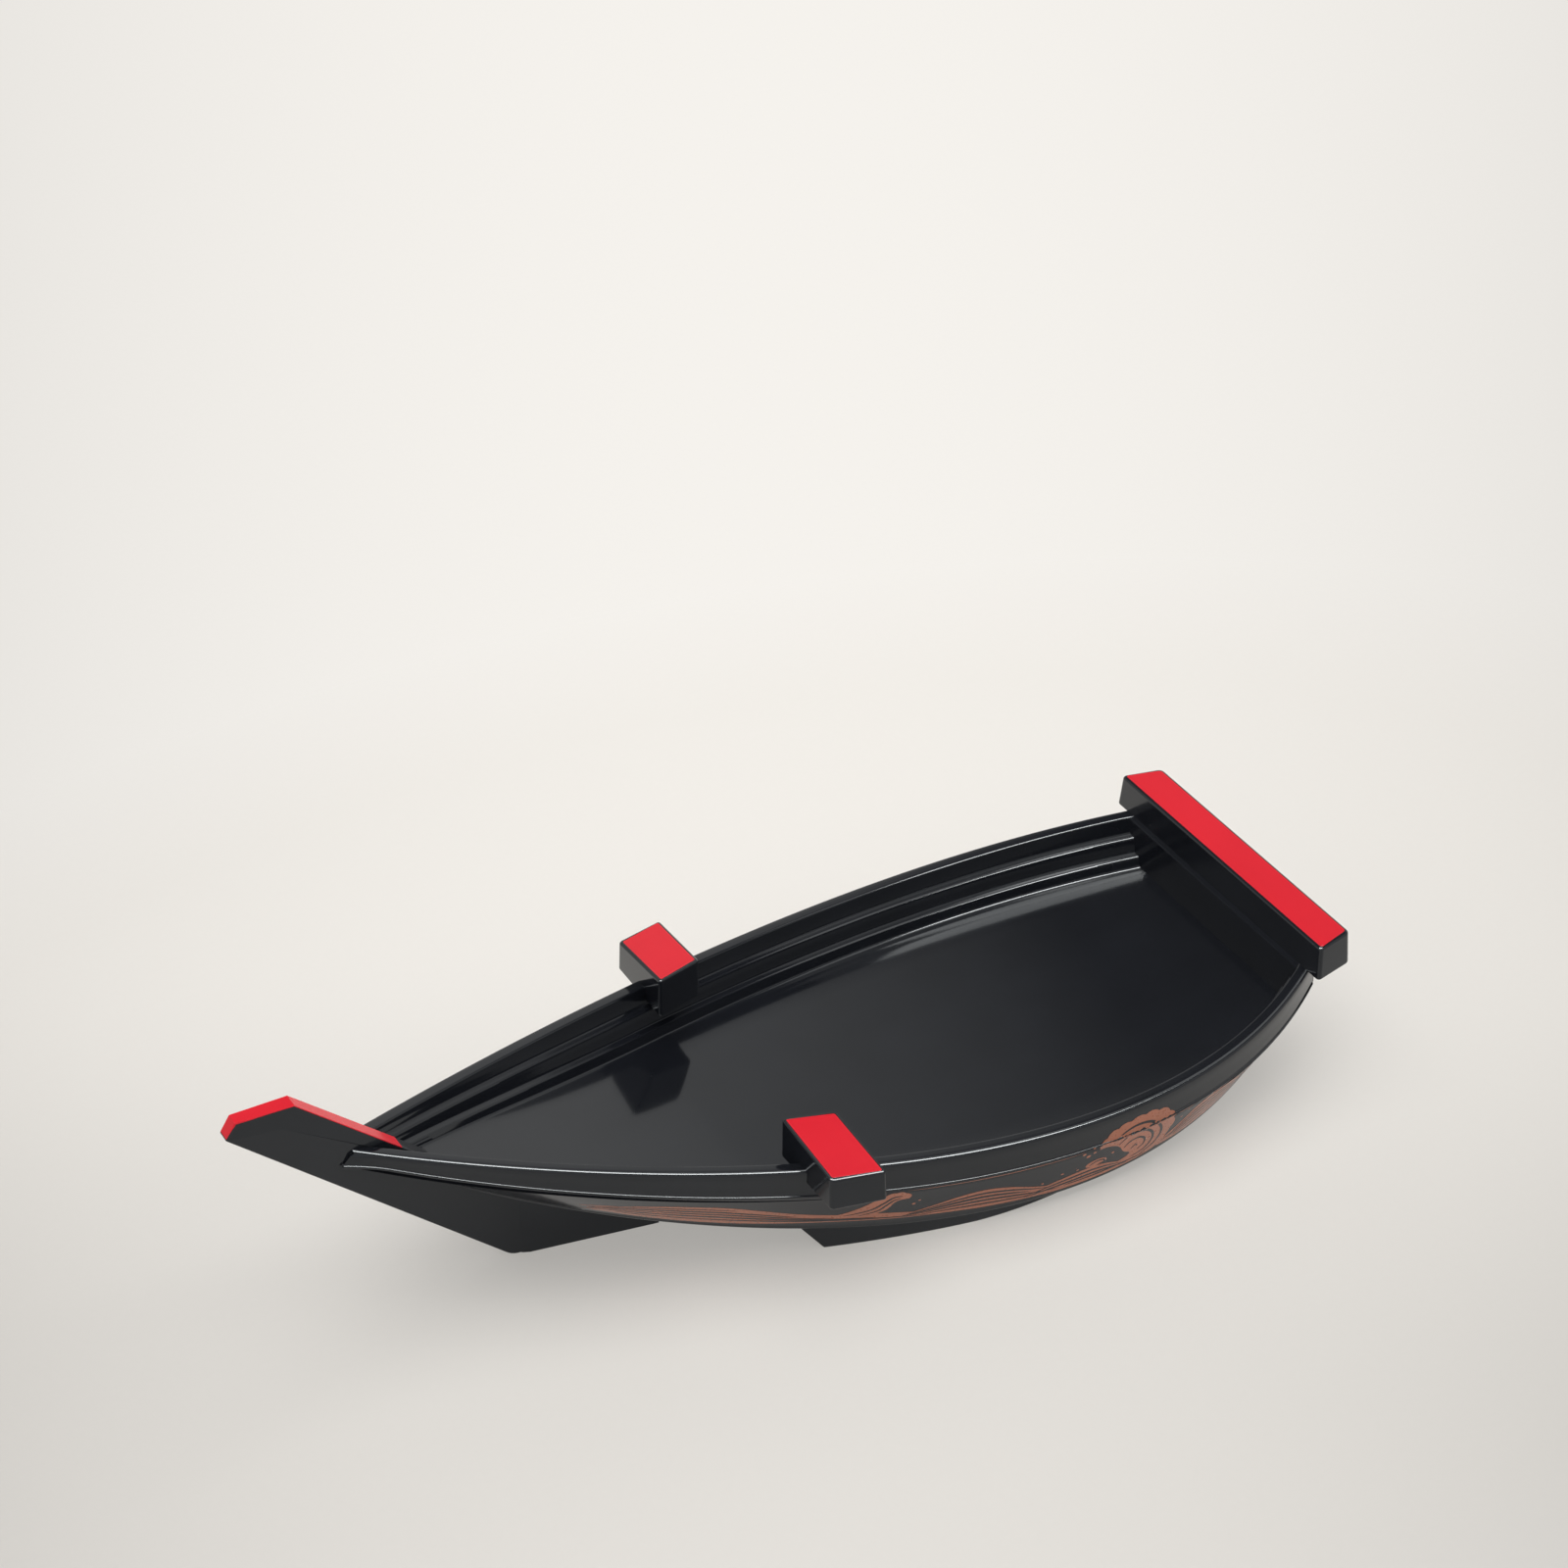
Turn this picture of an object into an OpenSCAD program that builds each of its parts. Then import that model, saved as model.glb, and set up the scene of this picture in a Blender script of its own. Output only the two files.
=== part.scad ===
// Lacquered sushi boat: a serving boat put together from glossy mouldings.
// Millimetres. Bow towards -X, stern towards +X, Z up, standing on z = 0.

/* [Sheer line] */
// Bow end of the gunwale, measured down the stem slope from the prow head
bow_run = 37.4; // [34:0.1:44]
// How deep the bow end of the gunwale sits below the stem slope
bow_sink = 8.4; // [6:0.1:10]
// Half width of the gunwale at its bow end
sheer_bow_half = 5.8; // [5.4:0.1:8]
// Stern end of the gunwale, measured aft of the middle
sheer_stern_x = 236.8; // [225:0.1:240]
// Half width of the gunwale at its stern end
sheer_stern_half = 66; // [55:0.1:69]
// Height of the gunwale at its stern end
sheer_stern_z = 61.6; // [60:0.1:66]
// How far out the curve of the gunwale is pulled abaft the middle
sheer_belly = 145.9; // [130:0.1:155]
// How low the curve of the gunwale is pulled abaft the middle
sheer_sag = 20.9; // [14:0.1:30]

/* [Chine line] */
// Bow end of the lower hull edge, measured forward of the middle
chine_bow_x = 153.7; // [146:0.1:165]
// Height of the lower hull edge where it meets the stem
chine_bow_z = 48.4; // [42:0.1:55]
// Stern end of the lower hull edge, measured aft of the middle
chine_stern_x = 232; // [229:0.1:234]
// Half width of the lower hull edge at the stern
chine_stern_half = 55; // [50:0.1:58]
// Height of the lower hull edge at the stern
chine_stern_z = 30; // [24:0.1:32]
// How far out the curve of the lower edge is pulled abaft the middle
chine_belly = 146.1; // [130:0.1:148]
// How low the curve of the lower edge is pulled abaft the middle
chine_sag = -20.5; // [-24:0.1:-12]

/* [Deck tray] */
// Width of the flat rim on top of the gunwale
rim_w = 6.5; // [5.6:0.1:8]
// Height of the upper strake that laps over the hull, from the middle to the stern
strake_h = 15.5; // [13:0.1:17]
// Height of the upper strake at the bow
strake_bow_h = 7; // [6:0.1:10]
// Rounding of the outer edge of the rim
rim_round = 1.8; // [1:0.1:2]
// Wall of the deck moulding
tray_wall = 2.2; // [1.6:0.1:2.6]
// Depth of the upper ledge below the rim
ledge_a_drop = 8.5; // [7:0.1:10]
// Depth of the lower ledge below the rim
ledge_b_drop = 16.5; // [14:0.1:18]
// Depth of the tray floor below the rim
floor_drop = 22; // [20:0.1:25]
// Width of each ledge inside the tray
ledge_w = 3.5; // [2:0.1:5]
// Fall of each ledge towards the middle of the tray
ledge_fall = 0.3; // [0.1:0.1:0.8]
// Lean of each step between the ledges
step_lean = 1; // [0.4:0.1:2]
// Inner face of the tray end wall, measured forward of the stern end of the gunwale
tray_end = 10; // [9.5:0.1:12]

/* [Hull shell] */
// Wall of the hull moulding
hull_wall = 2.2; // [1.6:0.1:2.6]
// Gap between the lapping strake and the hull
lap_gap = 0.2; // [0.1:0.05:0.4]
// How far the lower strake stands in from the strake above it
lap_step = 0.8; // [0.4:0.1:1.4]
// Rounding of the lower hull edge
chine_round = 1.5; // [1:0.1:2.5]
// Half width of the fore foot at the back end of its sole
fore_foot_half = 17; // [14:0.1:19]
// How much narrower the fore foot is where it meets the hull, per side
fore_foot_draft = 4; // [2:0.1:6]
// Back end of the fore foot, measured forward of the middle
fore_foot_back = 66; // [62:0.5:72]

/* [Stem] */
// Thickness of the stem plate
stem_t = 9; // [8:0.1:10]
// Thickness of the stem plate at the prow tip
stem_tip_t = 7.4; // [6.4:0.1:8]
// Prow tip, measured forward of the middle
prow_x = 249; // [240:0.1:256]
// Height of the lower corner of the prow tip
prow_low_z = 111.5; // [105:0.1:116]
// Height of the prow head
prow_top_z = 118.6; // [112:0.1:124]
// Length of the flat on the prow head
prow_flat = 25; // [20:0.1:30]
// Slant of the front chamfer of the prow head
prow_chamfer = 4.6; // [3:0.1:7]
// Angle of the long slope behind the prow head
slope_angle = 42; // [40:0.1:44]
// Length of the red part of the slope
slope_red = 59.4; // [50:0.1:64]
// Fore end of the keel sole, measured forward of the middle
sole_fore_x = 125.2; // [120:0.1:130]
// Aft end of the keel plate, measured forward of the middle
sole_aft_x = 95; // [92:0.5:98]
// Rounding at the fore end of the keel sole
sole_round = 10; // [6:0.5:14]

/* [Side beams] */
// Width of a beam at the top
beam_w = 20.4; // [16:0.1:24]
// Beam middle, measured forward of the middle of the boat
beam_x = 15.1; // [5:0.1:25]
// Inner end of a beam from the centre line
beam_inner = 60; // [52:0.1:62]
// Outer end of a beam from the centre line
beam_outer = 95.6; // [92:0.1:100]
// Skew of the outer end of a beam
beam_skew = 5.5; // [3:0.1:8]
// Height of the beam top at its inner end
beam_top_z = 67; // [64:0.1:70]
// Fall of the beam top towards its outer end
beam_fall = 4; // [2:0.1:6]
// Height of the beam underside
beam_low_z = 47.8; // [45:0.1:49]

/* [Stern bar] */
// Half length of the bar along its top inner edge
bar_half = 76.1; // [70:0.1:82]
// How much shorter each end is along the outer edge
bar_skew = 4.6; // [2:0.1:7]
// Width of the bar at the top
bar_w = 17; // [15:0.1:20]
// Height of the top of the bar
bar_top_z = 74.5; // [71:0.1:79]
// Height of the underside of the bar
bar_low_z = 57.9; // [56:0.1:58.5]
// Inner top edge of the bar, measured aft of the middle
bar_x = 230.4; // [228:0.1:232]
// Draft of the bar and beam sides, per side
draft = 2; // [1:0.1:3]
// Rounding of the bar and beam edges
edge_round = 1.4; // [0.8:0.1:2]
// Clearance where the bar and beams fit over the gunwale
saddle_gap = 0.2; // [0.1:0.05:0.4]

/* [Red inlays] */
// Thickness of the red inlays
inlay_t = 0.8; // [0.6:0.1:1.2]
// Black border left round an inlay
inlay_border = 1; // [0.6:0.1:1.6]
// Gap round the edge of an inlay
inlay_gap = 0.1; // [0.05:0.05:0.2]

/* [Stern foot] */
// Front edge of the foot sole, measured forward of the middle
foot_front = 13; // [5:0.5:20]
// Back edge of the foot sole, measured aft of the middle
foot_back = 150; // [120:0.5:165]
// Slope of the front and back faces of the foot
foot_slope = 10; // [6:0.5:14]
// How far the foot stands in from the lower hull edge
foot_inset = 1.6; // [1.5:0.1:5]
// How much further in the foot stands at its back end
foot_taper = 14; // [6:0.5:20]
// Wall of the foot ring
foot_wall = 7; // [5:0.1:10]

/* [Hidden] */
stations = 44;
far = 400;
slit_half = 2;
lap_in = tray_wall + lap_gap;
inner_a = rim_w + 1.4;
inner_b = inner_a + ledge_w;
inner_c = inner_b + step_lean;
inner_d = inner_c + ledge_w;
inner_e = inner_d + step_lean;
slot_t = stem_t + 2 * inlay_gap;
bend = [-prow_x + prow_chamfer + prow_flat, prow_top_z - 0.8];
slope_dir = [cos(slope_angle), -sin(slope_angle)];
slope_in = [-sin(slope_angle), -cos(slope_angle)];
red_end = bend + slope_red * slope_dir;
bow_end = bend + bow_run * slope_dir + bow_sink * slope_in;
sheer_pull_x = 113.2;
stern_run = 3 * (sheer_stern_x - sheer_pull_x);
sheer_pts = [
    [bow_end[0], sheer_bow_half, bow_end[1]],
    [-108, 52, 65],
    [sheer_pull_x, sheer_belly, sheer_sag],
    [sheer_stern_x, sheer_stern_half, sheer_stern_z]
];
chine_pts = [
    [-chine_bow_x, 4.6, chine_bow_z],
    [-80.8, 38.9, 15.1],
    [103.8, chine_belly, chine_sag],
    [chine_stern_x, chine_stern_half, chine_stern_z]
];

function curve(p, t) = pow(1 - t, 3) * p[0] + 3 * pow(1 - t, 2) * t * p[1]
    + 3 * (1 - t) * t * t * p[2] + pow(t, 3) * p[3];

// The tray grows deeper from the bow towards the middle
function depth_share(t) = let (u = min(1, t / 0.42)) 0.45 + 0.55 * u * u * (3 - 2 * u);

// The upper strake grows taller from the bow towards the middle
function strake(t) = strake_h - (strake_h - strake_bow_h) * pow(1 - min(1, t / 0.65), 2);

// A row is [share of the way to the chine, inset, fixed drop, drop that follows the tray depth,
// 1 where it starts from the lower edge of the upper strake]
function spot(t, row, side) =
    let (base = curve(sheer_pts, t) * (1 - row[0]) + curve(chine_pts, t) * row[0],
        lap = is_undef(row[4]) ? 0 : strake(t))
    [base[0], side * max(base[1] - row[1], slit_half - row[1] / 20),
        base[2] - row[2] - row[3] * depth_share(t) - lap];

// Solid between two mirrored long surfaces; rows run from top to bottom
module loft(rows, t0, t1) {
    h = len(rows);
    m = 2 * h;
    points = [for (s = [0:stations]) let (t = t0 + (t1 - t0) * s / stations)
        each concat([for (i = [0:h - 1]) spot(t, rows[i], 1)],
            [for (i = [h - 1:-1:0]) spot(t, rows[i], -1)])];
    sides = [for (s = [0:stations - 1], j = [0:m - 1])
        let (a = s * m + j, b = s * m + (j + 1) % m)
        each [[a + m, a, b], [a + m, b, b + m]]];
    last = stations * m;
    ends = [for (i = [0:h - 2]) each [
        [last + i, last + i + 1, last + m - 2 - i],
        [last + i, last + m - 2 - i, last + m - 1 - i],
        [i + 1, i, m - 1 - i],
        [i + 1, m - 1 - i, m - 2 - i]]];
    polyhedron(points, concat(sides, ends), convexity = 6);
}

// Outside of the deck moulding; grow widens it for the pieces that fit over it
module deck_outside(grow = 0) {
    loft([[0, rim_round - grow, -grow, 0], [0, rim_round * 0.3 - grow, rim_round * 0.3 - grow, 0],
        [0, -grow, rim_round, 0], [0, -grow, 0, 0, 1]], 0, 1);
}

module tray_basin() {
    w = tray_wall;
    loft([[0, inner_a - w, 0.5, 0], [0, inner_a - w, w, ledge_a_drop],
        [0, inner_b - w, w + ledge_fall, ledge_a_drop], [0, inner_c - w, w, ledge_b_drop],
        [0, inner_d - w, w + ledge_fall, ledge_b_drop],
        [0, inner_e - w, w, floor_drop]], 0, 1 - (tray_end - tray_wall) / stern_run);
}

module tray_hollow() {
    loft([[0, rim_w, -2, 0], [0, rim_w, 0.3, 0], [0, inner_a, 0, ledge_a_drop],
        [0, inner_b, ledge_fall, ledge_a_drop], [0, inner_c, 0, ledge_b_drop],
        [0, inner_d, ledge_fall, ledge_b_drop],
        [0, inner_e, 0, floor_drop]], 0, 1 - tray_end / stern_run);
}

module skirt_hollow() {
    loft([[0, tray_wall, tray_wall, 0], [0, tray_wall, 1, 0, 1]], 0, 1 - tray_wall / stern_run);
}

module hull_outside() {
    loft([[0, lap_in, lap_in, 0], [0, lap_in, lap_gap, 0, 1], [0, lap_step, 2 * lap_gap, 0, 1],
        [1, 0, -chine_round, 0], [1, chine_round, 0, 0]], 0, 1 - lap_in / stern_run);
}

module hull_hollow() {
    loft([[0, lap_in + hull_wall, 1, 0], [0, lap_in + hull_wall, 1, 0, 1],
        [1, hull_wall, -hull_wall, 0]], 0.02, 1 - (lap_in + hull_wall) / stern_run);
}

// Wedge on both sides of the keel, wider at its sole
module fore_foot() {
    front = sole_fore_x + 1;
    hull() {
        for (level = [[0, 0], [36, fore_foot_draft]])
            translate([0, 0, level[0]]) linear_extrude(height = 0.01)
                polygon([[-front, stem_t / 2 - 0.2], [level[1] - front + 4, 6.4 - 0.4 * level[1]],
                [-fore_foot_back, fore_foot_half - level[1]], [-fore_foot_back, level[1] - fore_foot_half],
                [level[1] - front + 4, 0.4 * level[1] - 6.4], [-front, 0.2 - stem_t / 2]]);
    }
}

module stem_profile() {
    r = sole_round;
    run = [prow_x - sole_fore_x, prow_low_z - r];
    rake = atan2(run[1], run[0]) + asin(r / norm(run));
    polygon(concat(
        [[-prow_x, prow_low_z], [-prow_x + prow_chamfer, prow_top_z], bend,
        bend + 102 * slope_dir, [-sole_aft_x, 38], [-sole_aft_x, 8]],
        [for (a = [0:15:90]) [-sole_aft_x - 8 + 8 * cos(a), 8 - 8 * sin(a)]],
        [for (i = [0:6]) let (a = i * rake / 6) [-sole_fore_x - r * sin(a), r - r * cos(a)]]));
}

module stem_plan(t, tip) {
    back = prow_x - prow_chamfer - prow_flat;
    polygon([[-prow_x - 1, -tip / 2], [-back, -t / 2], [0, -t / 2],
        [0, t / 2], [-back, t / 2], [-prow_x - 1, tip / 2]]);
}

module stem_plate(t, tip) {
    intersection() {
        rotate([90, 0, 0]) linear_extrude(height = 2 * t, center = true) stem_profile();
        linear_extrude(height = far) stem_plan(t, tip);
    }
}

module red_strip(side_gap) {
    wide = stem_t - 2 * inlay_border + 2 * side_gap;
    tip = stem_tip_t - 2 * inlay_border + 2 * side_gap;
    end = red_end + side_gap * slope_dir;
    intersection() {
        rotate([90, 0, 0]) linear_extrude(height = far, center = true) intersection() {
            difference() {
                stem_profile();
                offset(delta = -inlay_t) stem_profile();
            }
            polygon([[-prow_x - 5, prow_low_z], [-prow_x - 5, prow_top_z + 9], bend + [9, 9],
                end - 9 * slope_in, end + 2 * slope_in, bend + [-2, -5], [-prow_x + 9, prow_low_z]]);
        }
        linear_extrude(height = far) stem_plan(wide, tip);
    }
}

// Block with rounded edges between a top and a bottom outline of four corners
module block(top, low) {
    r = edge_round;
    mid = [for (k = [0, 1]) (top[0][k] + top[1][k] + top[2][k] + top[3][k]) / 4];
    hull() {
        for (c = concat([for (p = top) p - [0, 0, r]], [for (p = low) p + [0, 0, r]]))
            translate([c[0] - r * sign(c[0] - mid[0]), c[1] - r * sign(c[1] - mid[1]), c[2]])
                sphere(r = r, $fn = 24);
    }
}

// Thin slab under a top face of four corners; rise lifts its top to cut a recess
module slab(top, rise) {
    faces = [[3, 2, 1, 0], [4, 5, 6, 7], [0, 1, 5, 4], [1, 2, 6, 5], [2, 3, 7, 6], [3, 0, 4, 7]];
    polyhedron(concat([for (p = top) p + [0, 0, rise]], [for (p = top) p - [0, 0, inlay_t]]), faces);
}

function beam_z(y) = beam_top_z - beam_fall * (y - beam_inner) / (beam_outer - beam_inner);

function beam_corner(dx, y) = [dx - beam_x, y, beam_z(y)];

// Four corners of a beam top, set in by a border
function beam_face(b) = let (w = beam_w / 2 - b, s = beam_skew / 2) [
    beam_corner(-w, beam_inner + b), beam_corner(w, beam_inner + b),
    beam_corner(w, beam_outer + s - b), beam_corner(-w, beam_outer - s - b)];

// Four corners of the bar top, set in by a border
function bar_face(b) = let (y = bar_half - b, x = bar_x + b) [
    [x, -y, bar_top_z], [x + bar_w - 2 * b, bar_skew - y, bar_top_z],
    [x + bar_w - 2 * b, y - bar_skew, bar_top_z], [x, y, bar_top_z]];

beam_low = [for (p = beam_face(0))
    [p[0] + draft * sign(p[0] + beam_x), p[1] + (p[1] > beam_inner ? draft * 0.6 : 0), beam_low_z]];
bar_low = [for (p = bar_face(0))
    [p[0] + draft * (p[0] > bar_x ? 0.8 : -1), p[1] + 2 * draft * sign(p[1]), bar_low_z]];

module beam() {
    difference() {
        block(beam_face(0), beam_low);
        deck_outside(saddle_gap);
        slab(beam_face(inlay_border - inlay_gap), 1);
    }
}

module foot_plan(inset) {
    lead = foot_back / 3;
    ring = [for (t = [0.34:0.02:0.9]) let (p = curve(chine_pts, t))
        [p[0], p[1] - inset - foot_taper * pow(max(0, p[0] - lead) / (foot_back - lead), 1.5)]];
    polygon(concat(ring, [for (i = [len(ring) - 1:-1:0]) [ring[i][0], -ring[i][1]]]));
}

module foot_block(shift) {
    intersection() {
        linear_extrude(height = 30) foot_plan(foot_inset + shift);
        rotate([90, 0, 0]) linear_extrude(height = far, center = true)
            polygon([[-foot_front - 2 * foot_slope + shift, 26], [-foot_front + shift, 0],
                [foot_back - shift, 0], [foot_back + 2 * foot_slope - shift, 26]]);
    }
}

// Upper moulding: rim, lapping strake, stepped walls and floor of the tray
module deck_tray() {
    color([0.03, 0.03, 0.035]) difference() {
        union() {
            difference() {
                deck_outside();
                skirt_hollow();
            }
            tray_basin();
        }
        tray_hollow();
        stem_plate(slot_t, slot_t);
    }
}

// Lower moulding: lower strakes, bottom, transom and the fore foot behind the stem
module hull_shell() {
    color([0.04, 0.04, 0.045]) difference() {
        union() {
            difference() {
                hull_outside();
                hull_hollow();
            }
            difference() {
                fore_foot();
                hull_hollow();
            }
        }
        stem_plate(slot_t, slot_t);
    }
}

// Prow and keel plate in one, slotted into the deck and the hull
module stem() {
    color([0.05, 0.05, 0.055]) difference() {
        stem_plate(stem_t, stem_tip_t);
        red_strip(inlay_gap);
    }
}

// Red facing on the prow head and slope
module stem_inlay() {
    color([0.8, 0.05, 0.08]) red_strip(0);
}

// Cross bar fitted over the transom
module stern_bar() {
    color([0.05, 0.05, 0.055]) difference() {
        block(bar_face(0), bar_low);
        deck_outside(saddle_gap);
        slab(bar_face(inlay_border - inlay_gap), 1);
    }
}

module stern_bar_inlay() {
    color([0.8, 0.05, 0.08]) slab(bar_face(inlay_border), 0);
}

// Beam ends fitted over the gunwale
module starboard_beam() {
    color([0.05, 0.05, 0.055]) beam();
}

module port_beam() {
    color([0.05, 0.05, 0.055]) mirror([0, 1, 0]) beam();
}

module starboard_beam_inlay() {
    color([0.8, 0.05, 0.08]) slab(beam_face(inlay_border), 0);
}

module port_beam_inlay() {
    color([0.8, 0.05, 0.08]) mirror([0, 1, 0]) slab(beam_face(inlay_border), 0);
}

// Standing ring under the hull
module stern_foot() {
    color([0.06, 0.06, 0.065]) difference() {
        foot_block(0);
        translate([0, 0, -1]) foot_block(foot_wall);
        hull_outside();
    }
}

deck_tray();
hull_shell();
stem();
stem_inlay();
stern_bar();
stern_bar_inlay();
port_beam();
starboard_beam();
port_beam_inlay();
starboard_beam_inlay();
stern_foot();
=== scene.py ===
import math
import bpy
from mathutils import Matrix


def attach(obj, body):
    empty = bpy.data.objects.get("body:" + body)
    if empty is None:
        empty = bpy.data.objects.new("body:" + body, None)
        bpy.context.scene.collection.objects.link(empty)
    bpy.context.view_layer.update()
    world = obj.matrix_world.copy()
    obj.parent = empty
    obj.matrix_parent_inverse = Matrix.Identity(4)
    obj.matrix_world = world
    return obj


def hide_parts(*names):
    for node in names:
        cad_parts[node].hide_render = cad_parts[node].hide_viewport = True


bl_info = {
    "name": "Lacquered sushi boat",
    "version": (1, 0, 0),
    "blender": (4, 5, 0),
    "location": "View3D > Sidebar > Sushi boat",
    "description": "Dresses the lacquered sushi boat with smooth mouldings, red inlays and a wave print",
    "category": "Object",
}

import bmesh
import bpy
from bpy.props import FloatProperty, FloatVectorProperty, IntProperty, PointerProperty
from mathutils import Vector

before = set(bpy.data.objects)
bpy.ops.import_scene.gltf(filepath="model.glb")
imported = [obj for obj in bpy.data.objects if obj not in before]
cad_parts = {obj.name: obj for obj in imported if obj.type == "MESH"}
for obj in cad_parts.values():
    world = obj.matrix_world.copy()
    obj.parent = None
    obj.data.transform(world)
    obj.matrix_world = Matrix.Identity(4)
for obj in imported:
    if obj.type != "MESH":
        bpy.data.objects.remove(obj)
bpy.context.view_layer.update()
MM = 0.001


# Lines of the boat, in millimetres

STERN_X = 236.8
STERN_PULL_X = 113.2
FULL_DEPTH_AT = 0.42
BOW_DEPTH = 0.45
FULL_STRAKE_AT = 0.65
STRAKE_HEIGHT = 15.5
BOW_STRAKE_CUT = 8.5
LEAST_HALF = 2
HALF_EASE = 20
CHINE_ROUND = 1.5
WALL = 2.0
STERN_BOARD = 2.2


def bezier(points, t):
    u = 1.0 - t
    return u**3 * points[0] + 3 * u * u * t * points[1] + 3 * u * t * t * points[2] + t**3 * points[3]


class BoatLines:
    """The two long curves of the hull, with t from 0 at the bow to 1 at the stern, and what lies between."""

    def __init__(self, shape):
        self.sheer_points = [
            Vector((-197.2, 5.8, 86.5)), Vector((-108, 52, 65)),
            Vector((STERN_PULL_X, shape.belly, 20.9)), Vector((STERN_X, 66, 61.6))]
        self.chine_points = [
            Vector((-153.7, 4.6, 48.4)), Vector((-80.8, 38.9, 15.1)),
            Vector((103.8, shape.bilge, -20.5)), Vector((232, 55, 30))]
        # Millimetres along the boat for one unit of t, at the stern
        self.stern_run = 3 * (STERN_X - STERN_PULL_X)

    def sheer(self, t):
        return bezier(self.sheer_points, t)

    def chine(self, t):
        return bezier(self.chine_points, t)

    def depth_share(self, t):
        """Share of the tray's full depth, less in the bow."""
        u = min(1.0, t / FULL_DEPTH_AT)
        return BOW_DEPTH + (1 - BOW_DEPTH) * u * u * (3 - 2 * u)

    def strake_height(self, t):
        return STRAKE_HEIGHT - BOW_STRAKE_CUT * (1 - min(1.0, t / FULL_STRAKE_AT)) ** 2

    def spot(self, t, row):
        """A point of the starboard half of a section.

        The row gives the share of the way from the sheer to the chine, the inset and the drop. To the drop
        it adds a number of tray depths and, where a fifth value is given, of upper strake heights.
        """
        share, inset, drop, trays, laps = (*row, 0)[:5]
        base = self.sheer(t).lerp(self.chine(t), share)
        # By the stem the inner rows stay on their own side of the middle
        y = max(base.y - inset, LEAST_HALF - inset / HALF_EASE)
        drop += trays * self.depth_share(t) + laps * self.strake_height(t)
        return Vector((base.x, y, base.z - drop))

    def strake(self, t, f):
        """A point of the printed lower strake, f from 0 at the lap to 1 at the chine."""
        top = self.spot(t, (0, 0.8, 0.4, 0, 1))
        low = self.spot(t, (1, 0, -CHINE_ROUND, 0))
        return top.lerp(low, f)


def arc(cx, cy, r, start, end, steps):
    """Points of a circle arc, angles in degrees."""
    turn = [math.radians(start + (end - start) * i / steps) for i in range(steps + 1)]
    return [(cx + r * math.cos(a), cy + r * math.sin(a)) for a in turn]


def mirrored(points):
    """The points on the other side of the boat, in turned order."""
    return [Vector((p.x, -p.y, p.z)) for p in reversed(points)]


# Settings

class BoatShape(bpy.types.PropertyGroup):
    belly: FloatProperty(
        name="Gunwale belly", description="Pull of the gunwale curve abaft the middle, in mm", default=145.9)
    bilge: FloatProperty(
        name="Chine belly", description="Pull of the lower edge abaft the middle, in mm", default=146.1)
    rim_width: FloatProperty(name="Rim width", description="Flat rim on the gunwale, in mm", default=6.5)
    edge_round: FloatProperty(name="Edge round", description="Rounding of the blocks, in mm", default=1.4)
    stations: IntProperty(name="Stations", description="Sections along the hull", default=150)


class BoatFinish(bpy.types.PropertyGroup):
    black: FloatVectorProperty(
        name="Black lacquer", description="Colour of the mouldings", subtype="COLOR",
        default=(0.008, 0.009, 0.012))
    red: FloatVectorProperty(
        name="Red lacquer", description="Colour of the inlays", subtype="COLOR",
        default=(0.76, 0.012, 0.028))
    copper: FloatVectorProperty(
        name="Wave print", description="Colour of the wave print", subtype="COLOR",
        default=(0.36, 0.105, 0.045))


class StageSettings(bpy.types.PropertyGroup):
    tone: FloatProperty(
        name="Table tone", description="Lightness of the table behind the boat", default=0.915)
    tint: FloatVectorProperty(
        name="Table tint", description="Warm tint of the table", subtype="COLOR", default=(1.0, 0.971, 0.925))
    # The two falls set painted shade: the table's tone, lit and as painted glow, darkens to the sides and in
    # front.
    edge_shade_fall: FloatProperty(
        name="Edge fall", description="How much darker the table grows to the sides", default=0.95)
    front_shade_fall: FloatProperty(
        name="Front fall", description="How much darker the table is in front", default=0.125)


# Materials

class Value:
    """A shader socket that takes part in sums and products."""

    def __init__(self, tree, socket):
        self.tree = tree
        self.socket = socket

    def math(self, operation, *others, swap=False):
        node = self.tree.nodes.new("ShaderNodeMath")
        node.operation = operation
        terms = [self, *others]
        if swap:
            terms.reverse()
        for socket, term in zip(node.inputs, terms):
            feed(socket, term)
        return Value(self.tree, node.outputs[0])

    def __add__(self, other):
        return self.math("ADD", other)

    __radd__ = __add__

    def __mul__(self, other):
        return self.math("MULTIPLY", other)

    __rmul__ = __mul__

    def __sub__(self, other):
        return self.math("SUBTRACT", other)

    def __rsub__(self, other):
        return self.math("SUBTRACT", other, swap=True)

    def clamp(self, low=0.0, high=1.0):
        return self.math("MAXIMUM", low).math("MINIMUM", high)


def feed(socket, value):
    """Links a value to a socket, or sets the socket to a plain one."""
    if isinstance(value, Value):
        value.tree.links.new(value.socket, socket)
    else:
        socket.default_value = value


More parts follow.
